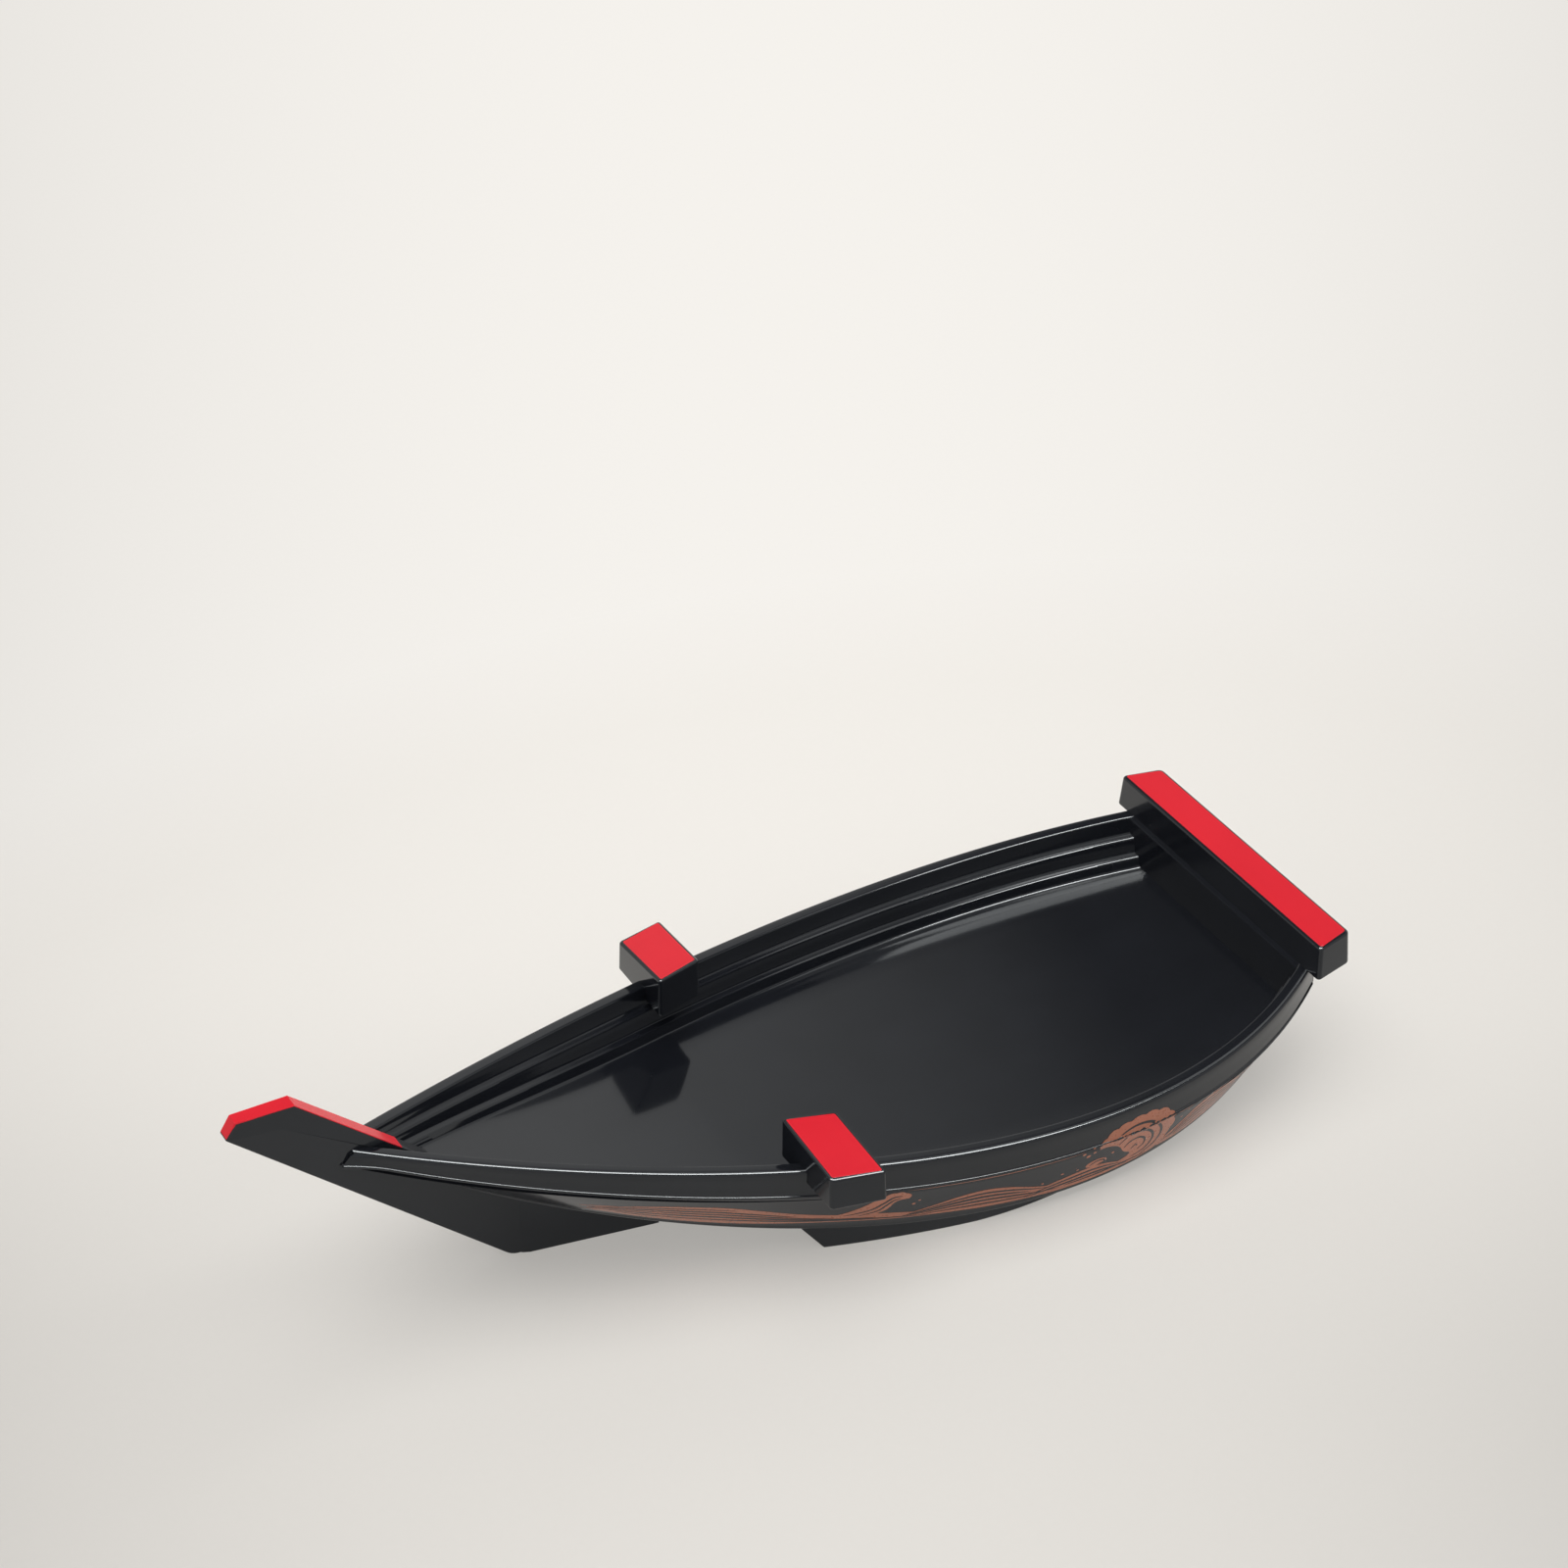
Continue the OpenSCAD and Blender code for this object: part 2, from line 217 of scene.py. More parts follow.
class Recipe:
    """Builds the nodes of one material or world."""

    def __init__(self, owner):
        owner.use_nodes = True
        self.owner = owner
        self.tree = owner.node_tree

    def node(self, kind, out=0, links=(), **inputs):
        node = self.tree.nodes.new(kind)
        for socket, value in zip(node.inputs, links):
            feed(socket, value)
        for key, value in inputs.items():
            feed(node.inputs[key.replace("_", " ")], value)
        return Value(self.tree, node.outputs[out])

    def place(self):
        return self.node("ShaderNodeTexCoord", out="Object")

    def noise(self, scale, detail):
        return self.node("ShaderNodeTexNoise", Vector=self.place(), Scale=scale, Detail=detail, Roughness=0.5)

    def blend(self, factor, first, second):
        node = self.tree.nodes.new("ShaderNodeMix")
        node.data_type = "RGBA"
        feed(node.inputs[0], factor)
        feed(node.inputs[6], first)
        feed(node.inputs[7], second)
        return Value(self.tree, node.outputs[2])

    def bump(self, height, strength, distance):
        return self.node("ShaderNodeBump", Height=height, Strength=strength, Distance=distance)

    def seen(self):
        """1 for what the camera, a reflection or a clear piece shows, 0 for light."""
        node = self.node("ShaderNodeLightPath").socket.node
        kinds = ("Camera", "Glossy", "Transmission")
        ways = [Value(self.tree, node.outputs[f"Is {kind} Ray"]) for kind in kinds]
        return (ways[0] + ways[1] + ways[2]).clamp()

    def finish(self, **inputs):
        shader = self.tree.nodes["Principled BSDF"]
        for key, value in inputs.items():
            feed(shader.inputs[key.replace("_", " ")], value)
        return self.owner


def new_recipe(name):
    return Recipe(bpy.data.materials.new(name))


def tint(colour, gain=1.0):
    return (colour[0] * gain, colour[1] * gain, colour[2] * gain, 1.0)


def black_lacquer(name, colour, rough):
    """Deep gloss lacquer: faint waviness of the coat, soft cloud in the polish and a few dust nibs."""
    r = new_recipe(name)
    cloud = r.noise(scale=26, detail=4)
    fine = r.noise(scale=420, detail=2)
    dust = (r.noise(scale=2600, detail=1) - 0.69) * 9
    swell = r.noise(scale=34, detail=1)
    haze = rough + (cloud - 0.5) * 0.05 + (fine - 0.5) * 0.03 + dust.clamp() * 0.05
    return r.finish(
        Base_Color=r.blend(cloud, tint(colour, 0.75), tint(colour, 1.5)),
        Roughness=haze.clamp(0.03, 0.8),
        Normal=r.bump(swell + fine * 0.02, strength=0.02, distance=0.002),
        Specular_IOR_Level=0.34, Specular_Tint=(0.90, 0.96, 1.0, 1.0),
        Coat_Weight=0.12, Coat_Roughness=0.025, IOR=1.5)


def red_lacquer(colour):
    """Red lacquer with a softer polish than the black."""
    r = new_recipe("red lacquer")
    cloud = r.noise(scale=22, detail=4)
    fine = r.noise(scale=700, detail=2)
    haze = 0.24 + (cloud - 0.5) * 0.10 + (fine - 0.5) * 0.06
    return r.finish(
        Base_Color=r.blend(cloud, tint(colour, 0.90), tint(colour, 1.08)),
        Roughness=haze.clamp(0.1, 0.8),
        Normal=r.bump(fine, strength=0.04, distance=0.0004), Specular_IOR_Level=0.15,
        Coat_Weight=0.05, Coat_Roughness=0.06, IOR=1.5)


def wave_ink(colour):
    """Printed ink: broken, brushed colour over the lacquer."""
    r = new_recipe("copper wave print")
    grain = r.noise(scale=900, detail=3)
    cloud = r.noise(scale=60, detail=3)
    mix = (cloud * 0.7 + grain * 0.5 - 0.1).clamp()
    return r.finish(
        Base_Color=r.blend(mix, tint(colour, 0.72), tint(colour, 1.25)),
        Roughness=(0.30 + (grain - 0.5) * 0.2).clamp(0.1, 0.8),
        Normal=r.bump(grain, strength=0.05, distance=0.0002),
        Coat_Weight=0.4, Coat_Roughness=0.05, IOR=1.5)


BLACK_ROUGHNESS = {"deck": 0.10, "hull": 0.16, "trim": 0.14, "foot": 0.30}
MATERIALS = {}


def boat_materials():
    if not MATERIALS:
        finish = bpy.context.scene.boat_finish
        for part, rough in BLACK_ROUGHNESS.items():
            MATERIALS[part] = black_lacquer(f"black {part} lacquer", finish.black, rough)
        MATERIALS["red"] = red_lacquer(finish.red)
        MATERIALS["ink"] = wave_ink(finish.copper)
    return MATERIALS


# Mesh helpers

WELD_GAP = 1e-6
CORNER_SEGMENTS = 6


def deselect():
    if bpy.context.object and bpy.context.object.mode != "OBJECT":
        bpy.ops.object.mode_set(mode="OBJECT")
    bpy.ops.object.select_all(action="DESELECT")


def pick(piece):
    """Selects one piece alone and makes it active."""
    deselect()
    piece.select_set(True)
    bpy.context.view_layer.objects.active = piece


def new_piece(name):
    """The object that was just made, under its own name."""
    piece = bpy.context.object
    piece.name = piece.data.name = name
    return piece


def grid_sheet(name, rows):
    """A grid primitive laid on rows of points, each row as long as the next, in millimetres."""
    deselect()
    n, m = len(rows) - 1, len(rows[0]) - 1
    bpy.ops.mesh.primitive_grid_add(x_subdivisions=n, y_subdivisions=m, size=2)
    piece = new_piece(name)
    for v in piece.data.vertices:
        i = round((v.co.x + 1) / 2 * n)
        j = round((v.co.y + 1) / 2 * m)
        v.co = rows[i][j] * MM
    return piece


def add_object(name, data):
    item = bpy.data.objects.new(name, data)
    bpy.context.scene.collection.objects.link(item)
    return item


def sheet_from(name, points, faces):
    """A mesh from points in metres and faces."""
    mesh = bpy.data.meshes.new(name)
    mesh.from_pydata(points, [], faces)
    return add_object(name, mesh)


def edit(piece, *steps):
    """Runs edit-mode steps on the whole piece."""
    pick(piece)
    bpy.ops.object.mode_set(mode="EDIT")
    bpy.ops.mesh.select_all(action="SELECT")
    for step in steps:
        step()
    bpy.ops.object.mode_set(mode="OBJECT")


def outward():
    bpy.ops.mesh.normals_make_consistent(inside=False)


def weld():
    bpy.ops.mesh.remove_doubles(threshold=WELD_GAP)


def choose_no_edges():
    bpy.ops.mesh.select_mode(type="EDGE")
    bpy.ops.mesh.select_all(action="DESELECT")


def modify(piece, kind, **settings):
    """Applies one modifier."""
    pick(piece)
    mod = piece.modifiers.new(kind.title(), kind)
    for key, value in settings.items():
        setattr(mod, key, value)
    bpy.ops.object.modifier_apply(modifier=mod.name)


def thicken(piece, thickness):
    """Gives a sheet a thickness in mm, behind its faces."""
    modify(piece, "SOLIDIFY", thickness=thickness * MM, offset=-1, use_even_offset=False)


def round_edges(piece, width, segments, degrees):
    """Rounds the edges that turn by more than an angle; the width is in mm."""
    modify(
        piece, "BEVEL", width=width * MM, segments=segments,
        limit_method="ANGLE", angle_limit=math.radians(degrees))


def smooth(piece, degrees=32):
    pick(piece)
    bpy.ops.object.shade_smooth_by_angle(angle=math.radians(degrees))


def polish(piece, degrees=32):
    """Smooth shading that keeps the broad faces flat."""
    smooth(piece, degrees)
    modify(piece, "WEIGHTED_NORMAL", keep_sharp=True)


def flip_side():
    bpy.ops.transform.resize(value=(1, -1, 1), center_override=(0, 0, 0))


def mirror_copy(piece, name):
    """A copy of the piece on the other side of the boat."""
    pick(piece)
    bpy.ops.object.duplicate()
    twin = new_piece(name)
    edit(twin, flip_side, outward)
    return twin


def join(name, pieces):
    """Joins the pieces of one moulding into the first of them."""
    deselect()
    for p in pieces:
        p.select_set(True)
    bpy.context.view_layer.objects.active = pieces[0]
    bpy.ops.object.join()
    return new_piece(name)


def settle(piece, material, slot, *nodes):
    """Gives a finished piece its material and its place in the frame."""
    piece.data.materials.clear()
    piece.data.materials.append(boat_materials()[material])
    if nodes:
        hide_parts(*nodes)
    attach(piece, "root")


def prism(name, outline, low, high):
    """A closed prism on a flat outline; low and high map an outline point to the two faces, in mm."""
    deselect()
    bpy.ops.mesh.primitive_circle_add(vertices=len(outline), fill_type="NGON")
    piece = new_piece(name)
    for v, p in zip(piece.data.vertices, outline):
        v.co = Vector(low(p)) * MM
    count = len(outline)
    edit(piece, bpy.ops.mesh.extrude_region_move)
    for v, p in zip(piece.data.vertices[count:], outline):
        v.co = Vector(high(p)) * MM
    edit(piece, outward)
    return piece


def block(name, top, low, corner, width, segments=5):
    """A cube primitive drawn to eight corners, with rounded upright corners and rounded edges."""
    deselect()
    bpy.ops.mesh.primitive_cube_add(size=2)
    piece = new_piece(name)
    upper = {v.index for v in piece.data.vertices if v.co.z > 0}
    for v in piece.data.vertices:
        corners = top if v.index in upper else low
        v.co = Vector(corners[(v.co.x > 0, v.co.y > 0)]) * MM
    edit(piece, outward, choose_no_edges)
    for e in piece.data.edges:
        e.select = len(upper.intersection(e.vertices)) == 1
    pick(piece)
    bpy.ops.object.mode_set(mode="EDIT")
    bpy.ops.mesh.bevel(offset=corner * MM, segments=CORNER_SEGMENTS, affect="EDGES")
    bpy.ops.mesh.select_mode(type="VERT")
    bpy.ops.object.mode_set(mode="OBJECT")
    round_edges(piece, width, segments, degrees=40)
    return piece


def moulding(name, rows):
    """A skin laid on sections from bow to stern, faced outwards and thickened to the wall."""
    sheet = grid_sheet(name, rows)
    edit(sheet, weld, outward)
    if sheet.data.polygons[0].normal.y < 0:
        edit(sheet, bpy.ops.mesh.flip_normals)
    thicken(sheet, WALL)
    return sheet


# Deck tray: rows as BoatLines.spot takes them

BEAD = 0.5
BEAD_LOW = 0.7
SKIRT_FLARE = 0.03
RIM_ROUND = 1.8
INNER_ROUND = 0.9
RIM_WALL = 1.4
UPPER_LEDGE = 8.5
LOWER_LEDGE = 16.5
FLOOR = 22
LEDGE_WIDTH = 3.5
LEDGE_STEP = 1.0

# Inset and drop of the fillet at the foot of each wall, and of the rounded edge of a ledge
UPPER_FOOT = ((-0.15, -1.3), (0.05, -0.6), (0.4, -0.1), (0.9, 0.04))
LOWER_FOOT = ((-0.05, -1.3), (0.1, -0.6), (0.4, -0.1), (0.9, 0.04))
FLOOR_FOOT = ((-0.2, -1.5), (0.05, -0.7), (0.4, -0.25), (0.9, -0.05), (1.5, 0))
LEDGE_NOSE = ((-1.2, 0.20), (-0.6, 0.27), (-0.2, 0.55), (0, 1.1))

FLOOR_SHARES = (0.75, 0.5, 0.25, 0.0)
STERN_WALL = 10
STERN_LIP = 1.1
EDGE_DROP = 0.8
STERN_STATIONS = 5
RIM_FLAT = 6
SKIRT_RAKE = 5.5
RAKED_SHARE = 0.05


def skirt_rows():
    """The outside of the upper strake, from the bead on its lower edge up to the rim's round."""
    rows = [(0, 0.6, 0, 0, 1), (0, 0.15, -0.08, 0, 1), (0, 0, -0.3, 0, 1), (0, 0, -BEAD_LOW, 0, 1)]
    rows += [(0, x, -BEAD_LOW - y, 0, 1) for x, y in arc(BEAD, 0, BEAD, 180, 90, 4)[1:]]
    rows += [(0, 0.56, -1.35, 0, 1), (0, 0.52, -2.2, 0, 1), (0, 0.40, 0, 0, 0.62)]
    rows += [(0, 0.25, 0.4, 0, 0.4), (0, 0.08, 1.0, 0, 0.22), (0, 0, RIM_ROUND, 0)]
    return rows


def shifted(x, depth, steps):
    return [(0, x + inset, drop, depth) for inset, drop in steps]


def tray_rows(shape):
    """The rim, the two ledges and the edge of the floor."""
    upper = shape.rim_width + RIM_WALL
    upper_edge = upper + LEDGE_WIDTH
    lower = upper_edge + LEDGE_STEP
    lower_edge = lower + LEDGE_WIDTH
    floor = lower_edge + LEDGE_STEP
    rows = [(0, x, y, 0) for x, y in arc(RIM_ROUND, RIM_ROUND, RIM_ROUND, 180, 270, 7)[1:]]
    rows += [(0, 3.5, 0, 0), (0, 5.0, 0, 0)]
    inner = arc(shape.rim_width - INNER_ROUND, INNER_ROUND, INNER_ROUND, 270, 360, 5)
    rows += [(0, x, y, 0) for x, y in inner]
    rows.append((0, upper - 0.7, 0.3, 4.0))
    rows += shifted(upper, UPPER_LEDGE, UPPER_FOOT) + shifted(upper_edge, UPPER_LEDGE, LEDGE_NOSE)
    rows.append((0, lower - 0.4, 0.2, 12.5))
    rows += shifted(lower, LOWER_LEDGE, LOWER_FOOT) + shifted(lower_edge, LOWER_LEDGE, LEDGE_NOSE)
    rows += shifted(floor, FLOOR, FLOOR_FOOT)
    return rows


class BOAT_OT_deck_tray(bpy.types.Operator):
    """Upper moulding: rim, lapping strake, stepped walls and floor."""

    bl_idname = "boat.deck_tray"
    bl_label = "Deck tray"

    def execute(self, context):
        shape = context.scene.boat_shape
        lines = BoatLines(shape)
        skirt_part = skirt_rows()
        profile = skirt_part + tray_rows(shape)

        def half_section(t):
            half = [lines.spot(t, row) for row in profile]
            rake = SKIRT_RAKE * max(0, 1 - t / RAKED_SHARE) ** 2
            for p in half[:len(skirt_part)]:
                p.x -= rake * min(1, (lines.sheer(t).z - p.z) / lines.strake_height(t))
            edge = half[-1]
            return half + [Vector((edge.x, edge.y * s, edge.z)) for s in FLOOR_SHARES]

        def section(t, drop=None):
            """A section; with a drop it is filled to that far below the rim, which makes the stern wall."""
            edge = lines.sheer(t)
            half = half_section(t)
            for p in half:
                if drop is not None and p.y < edge.y - RIM_FLAT:
                    p.z = max(p.z, edge.z - drop)
            return half + mirrored(half[:-1])

        tray_end = 1 - STERN_WALL / lines.stern_run
        stop = 1 - STERN_LIP / lines.stern_run
        rows = [section(tray_end * i / shape.stations) for i in range(shape.stations + 1)]
        rows.append(section(tray_end, EDGE_DROP))
        for k in range(1, STERN_STATIONS + 1):
            rows.append(section(tray_end + (stop - tray_end) * k / STERN_STATIONS, 0.0))
        sheet = moulding("deck_tray_lacquer", rows)

        end = lines.sheer(1.0)
        half = [
            (end.y - 0.1, end.z - lines.strake_height(1)), (end.y - 0.3, end.z - 1.8),
            (end.y - 1.8, end.z - 0.02)]
        outline = half + [(-y, z) for y, z in reversed(half)]
        skirt = prism("stern_skirt", outline, lambda p: (end.x - STERN_BOARD, *p), lambda p: (end.x, *p))
        round_edges(skirt, width=0.8, segments=4, degrees=60)
        piece = join("deck_tray_lacquer", [sheet, skirt])
        smooth(piece)
        settle(piece, "deck", "deck_lacquer", "deck_tray")
        return {"FINISHED"}


# Hull shell

TRANSOM_INSET = 2.4
BOTTOM_SHARES = (0.66, 0.33, 0.0)
STRAKE_STEPS = 8
FORE_FOOT_TOP = 36
FORE_FOOT_SEAT = 1

# The lip under the deck, as rows for BoatLines.spot
HULL_LIP = (
    (0, 2.4, 2.6, 0), (0, 2.4, 0.2, 0, 1), (0, 1.1, 0.3, 0, 1), (0, 0.85, 0.36, 0, 1), (0, 0.8, 0.6, 0, 1))

# Half outlines of the fore foot on the table and where it meets the hull
FORE_FOOT_SOLE = [(-126.1, 4.2), (-125, 5.1), (-122.2, 6.35), (-66.1, 16.9)]
FORE_FOOT_NECK = [(-126.1, 4.2), (-123.4, 4.4), (-118.2, 4.75), (-66.1, 12.9)]


def fore_foot(lines):
    """Drafted wedge behind the stem, from the table up into the bottom."""
    sole = FORE_FOOT_SOLE + [(x, -y) for x, y in reversed(FORE_FOOT_SOLE)]
    neck = FORE_FOOT_NECK + [(x, -y) for x, y in reversed(FORE_FOOT_NECK)]
    chine = [lines.chine(i / 200) for i in range(201)]

    def under(p):
        x, y = neck[sole.index(p)]
        nearest = min(chine, key=lambda c: abs(c.x - x))
        return (x, y, min(FORE_FOOT_TOP, nearest.z + FORE_FOOT_SEAT))

    foot = prism("fore_foot", sole, lambda p: (p[0], p[1], 0), under)
    round_edges(foot, width=0.5, segments=3, degrees=50)
    return foot


class BOAT_OT_hull_shell(bpy.types.Operator):
    """Lower moulding: lower strakes, bottom, transom and fore foot."""

    bl_idname = "boat.hull_shell"
    bl_label = "Hull shell"

    def execute(self, context):
        shape = context.scene.boat_shape
        lines = BoatLines(shape)
        strake = [i / STRAKE_STEPS for i in range(1, STRAKE_STEPS + 1)]
        turn = [(1, x, y, 0) for x, y in arc(CHINE_ROUND, -CHINE_ROUND, CHINE_ROUND, 180, 90, 5)[1:]]

        def side(t, shares):
            """The lip, the lower strake at some shares of its height and the turn at the chine."""
            half = [lines.spot(t, row) for row in HULL_LIP]
            half += [lines.strake(t, f) for f in shares]
            return half + [lines.spot(t, row) for row in turn]

        def section(t):
            half = side(t, strake)
            edge = half[-1]
            half += [Vector((edge.x, edge.y * s, edge.z)) for s in BOTTOM_SHARES]
            return half + mirrored(half[:-1])

        end = 1 - TRANSOM_INSET / lines.stern_run
        rows = [section(end * i / shape.stations) for i in range(shape.stations + 1)]
        shell = moulding("hull_shell_lacquer", rows)
        half = side(end, [1])
        inward = Vector((STERN_BOARD, 0, 0))
        transom = prism("transom", half + mirrored(half), lambda p: p - inward, lambda p: p)
        piece = join("hull_shell_lacquer", [shell, transom, fore_foot(lines)])
        smooth(piece)
        settle(piece, "hull", "hull_lacquer", "hull_shell")
        return {"FINISHED"}


# Stem: points are (x, z) in mm

PROW_TIP = (-249, 111.5)
PROW_BROW = (-244.4, 118.6)
PROW_BEND = (-219.4, 117.8)
PROW_SLOPE = (math.cos(math.radians(42)), -math.sin(math.radians(42)))
SLOPE_RUN = 102
FACING_RUN = 59.4
PROW_CREASE = [(-225.7, 108.9), (-133.9, 47.2)]
PLATE_END = -95
PLATE_END_TOP = 38
END_ROUND = 8
KEEL_X = -125.2
KEEL_ROUND = 10.0
TIP_HALF = 3.7
HEAD_GAIN = 0.8
HEAD_LENGTH = 29.6

# How far the upper edges of the plate lean in, by the number of the outline's point
EDGE_LEAN = {0: 0.5, 1: 0.9, 2: 0.7, 3: 0.7}
BELOW_FACING = 0.06
FACING_BORDER = 0.8

# From each point of the facing's line to its underside
FACING_DEPTH = [(0.8, -0.4), (0.45, -0.8), (-0.3, -0.8), (-0.54, -0.6)]


def down_slope(run):
    """The point a length down the slope of the prow."""
    return (PROW_BEND[0] + run * PROW_SLOPE[0], PROW_BEND[1] + run * PROW_SLOPE[1])


def stem_outline():
    """The plate from the side, from the tip of the prow over the slope and back along the keel."""
    reach = (KEEL_X - PROW_TIP[0], PROW_TIP[1] - KEEL_ROUND)
    rake = math.atan2(reach[1], reach[0]) + math.asin(KEEL_ROUND / math.hypot(*reach))
    points = [PROW_TIP, PROW_BROW, PROW_BEND, down_slope(SLOPE_RUN)]
    points += [(PLATE_END, PLATE_END_TOP), (PLATE_END, END_ROUND)]
    points += arc(PLATE_END - END_ROUND, END_ROUND, END_ROUND, -15, -90, 5)
    points += arc(KEEL_X, KEEL_ROUND, KEEL_ROUND, -90, -90 - math.degrees(rake), 6)
    return points


def stem_half(x):
    """Half the thickness of the plate, which grows along the prow head."""
    share = min(max((x - PROW_TIP[0]) / HEAD_LENGTH, 0), 1)
    return TIP_HALF + HEAD_GAIN * share


def stem_plate():
    """The plate, with a crease on both sides from which the upper edges lean in."""
    outline = stem_outline()
    count = len(outline)
    size = count + len(PROW_CREASE)
    points = []
    for side in (-1, 1):
        for i, (x, z) in enumerate(outline):
            lean = EDGE_LEAN.get(i, 0)
            low = BELOW_FACING if i in EDGE_LEAN else 0
            points.append((x, side * (stem_half(x) - lean), z - low))
        points += [(x, side * stem_half(x), z) for x, z in PROW_CREASE]
    faces = []
    for base in (0, size):
        fore = base + count
        aft = fore + 1
        faces.append((base, base + 1, base + 2, fore))
        faces.append((base + 2, base + 3, aft, fore))
        faces.append((base, fore, aft, *range(base + 4, base + count)))
        faces.append((base + 3, base + 4, aft))
    for i in range(count):
        j = (i + 1) % count
        faces.append((i, j, j + size, i + size))
    plate = sheet_from("stem_plate", [Vector(p) * MM for p in points], faces)
    edit(plate, outward)
    round_edges(plate, width=0.7, segments=4, degrees=60)
    smooth(plate)
    keep_creases(plate)
    modify(plate, "WEIGHTED_NORMAL", keep_sharp=True)
    return plate


def keep_creases(plate):
    """Marks the long, shallow creases of the plate as sharp."""
    shape = bmesh.new()
    shape.from_mesh(plate.data)
    shallow, steep = math.radians(0.8), math.radians(15)
    shortest = 4 * MM
    for e in shape.edges:
        if shallow < e.calc_face_angle(0) < steep and e.calc_length() > shortest:
            e.smooth = False
    shape.to_mesh(plate.data)
    shape.free()


class BOAT_OT_stem(bpy.types.Operator):
    """Prow and keel plate, with its red facing."""

    bl_idname = "boat.stem"
    bl_label = "Stem"

    def execute(self, context):
        settle(stem_plate(), "trim", "trim_lacquer", "stem")
        start = (PROW_TIP[0] + 0.35, PROW_TIP[1] + 0.55)
        line = [start, PROW_BROW, PROW_BEND, down_slope(FACING_RUN)]
        under = [(p[0] + d[0], p[1] + d[1]) for p, d in zip(line, FACING_DEPTH)]

        def facing_half(x):
            return stem_half(x) - FACING_BORDER

        inlay = prism(
            "stem_facing", line + under[::-1],
            lambda p: (p[0], -facing_half(p[0]), p[1]), lambda p: (p[0], facing_half(p[0]), p[1]))
        round_edges(inlay, width=0.12, segments=2, degrees=60)
        polish(inlay)
        settle(inlay, "red", "red_lacquer", "stem_inlay")
        return {"FINISHED"}


# Blocks: corners are keyed by whether they are aft and whether they are on the +y side

INLAY_BORDER = 1.3
INLAY_DEPTH = 0.8
INLAY_ROUND = 0.25
INLAY_PROUD = 0.05
BLOCK_SMOOTH = 40

# Top corners of the starboard beam in mm, and its top, which falls outboard
BEAM_CORNERS = {
    (False, False): (-27.2, 53.0), (True, False): (-4.4, 59.0),
    (False, True): (-26.6, 93.0), (True, True): (-3.2, 98.5)}
BEAM_TOP = 67
BEAM_TOP_Y = 60
BEAM_FALL = 4
BEAM_FALL_WIDTH = 35.6
BEAM_LOW = 47.8
BEAM_DRAFT = 0.2
BEAM_END_DRAFT = 0.8
BEAM_CORNER = 1.8
BEAM_INLAY_CORNER = 0.9

BAR_TOP = 74.5
BAR_LOW = 57.9
BAR_AFT_X = 248.6
BAR_FORE_X = 229.2
BAR_AFT_HALF = 72.6
BAR_FORE_HALF = 77.3
BAR_AFT_DRAFT = 0.4
BAR_FORE_DRAFT = -0.8
BAR_END_DRAFT = 1.6
BAR_CORNER = 2.4
BAR_INLAY_CORNER = 1.6


def facing_corners(corners, level):
    """Top and under corners of a red facing, set in by its border; level gives its height at y."""
    top = {}
    for key, p in corners.items():
        x = p[0] - INLAY_BORDER if key[0] else p[0] + INLAY_BORDER
        y = p[1] - INLAY_BORDER if key[1] else p[1] + INLAY_BORDER
        top[key] = (x, y, level(y))
    under = {key: (p[0], p[1], p[2] - INLAY_DEPTH) for key, p in top.items()}
    return top, under


def beam_level(y):
    return BEAM_TOP - BEAM_FALL * (y - BEAM_TOP_Y) / BEAM_FALL_WIDTH


class BOAT_OT_beams(bpy.types.Operator):
    """Two beam ends over the gunwale, with their red tops."""

    bl_idname = "boat.beams"
    bl_label = "Side beams"

    def execute(self, context):
        width = context.scene.boat_shape.edge_round
        top, low = {}, {}
        for (aft, outer), (x, y) in BEAM_CORNERS.items():
            top[(aft, outer)] = (x, y, beam_level(y) - INLAY_PROUD)
            low_x = x + (BEAM_DRAFT if aft else -BEAM_DRAFT)
            low_y = y + (BEAM_END_DRAFT if outer else 0)
            low[(aft, outer)] = (low_x, low_y, BEAM_LOW)
        body = block("starboard_beam_block", top, low, BEAM_CORNER, width)
        face = facing_corners(top, beam_level)
        cap = block("starboard_beam_facing", *face, BEAM_INLAY_CORNER, INLAY_ROUND, segments=3)
        sides = {
            "port": (mirror_copy(body, "port_beam_block"), mirror_copy(cap, "port_beam_facing")),
            "starboard": (body, cap)}
        for side, (block_piece, cap_piece) in sides.items():
            polish(block_piece, BLOCK_SMOOTH)
            polish(cap_piece, BLOCK_SMOOTH)
            settle(block_piece, "trim", "trim_lacquer", f"{side}_beam")
            settle(cap_piece, "red", "red_lacquer", f"{side}_beam_inlay")
        return {"FINISHED"}


